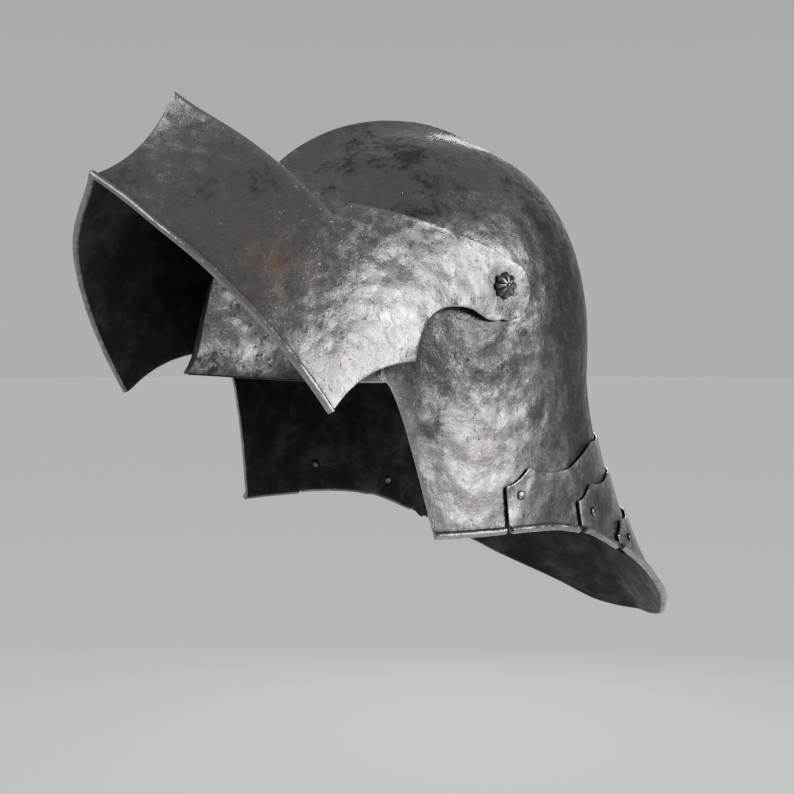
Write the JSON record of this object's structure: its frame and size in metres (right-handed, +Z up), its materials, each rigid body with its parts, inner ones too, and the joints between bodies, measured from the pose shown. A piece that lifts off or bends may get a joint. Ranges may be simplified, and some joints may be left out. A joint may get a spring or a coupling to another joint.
{
  "type": "visored sallet helmet",
  "caption": "Visored sallet: keeled steel skull, raised pivoting visor with a sight notch, and a tail of riveted lames.",
  "frame": {"origin": "where the inside of the crown sits on the head, on the mid-plane", "axes": "+X to the wearer's left, -Y the way the face looks, +Z up"},
  "size_m": [0.2536, 0.4208, 0.3375],
  "materials": {
    "skull_steel": "aged hammered steel, dark mottled patina with polished patches",
    "visor_steel": "aged hammered steel with faint rust stains",
    "lame_steel": "aged steel, worn bright along the rolled rim",
    "bolt_steel": "worn filed steel"
  },
  "bodies": {
    "skull": {"skull": "skull_steel", "pivot_bolt_left": "bolt_steel", "pivot_bolt_right": "bolt_steel", "lame_rivet_1_left": "bolt_steel", "lame_rivet_1_right": "bolt_steel"},
    "visor": {"visor": "visor_steel"},
    "lame_1": {"tail_lame_1": "lame_steel", "lame_rivet_2_left": "bolt_steel", "lame_rivet_2_right": "bolt_steel"},
    "lame_2": {"tail_lame_2": "lame_steel", "lame_rivet_3_left": "bolt_steel", "lame_rivet_3_right": "bolt_steel"},
    "lame_3": {"tail_lame_3": "lame_steel"}
  },
  "joints": [
    {"name": "visor_pivot", "type": "hinge", "parent": "skull", "child": "visor", "pos_m": [0, -0.01, -0.091], "axis": [-1, 0, 0], "range_deg": [-57, 15]},
    {"name": "lame_1_pivot", "type": "hinge", "parent": "skull", "child": "lame_1", "pos_m": [0, -0.00269, -0.21049], "axis": [1, 0, 0], "range_deg": [0, 3]},
    {"name": "lame_2_pivot", "type": "hinge", "parent": "lame_1", "child": "lame_2", "pos_m": [0, 0.05738, -0.22514], "axis": [1, 0, 0], "range_deg": [0, 3]},
    {"name": "lame_3_pivot", "type": "hinge", "parent": "lame_2", "child": "lame_3", "pos_m": [0, 0.09548, -0.24495], "axis": [1, 0, 0], "range_deg": [0, 3]}
  ]
}
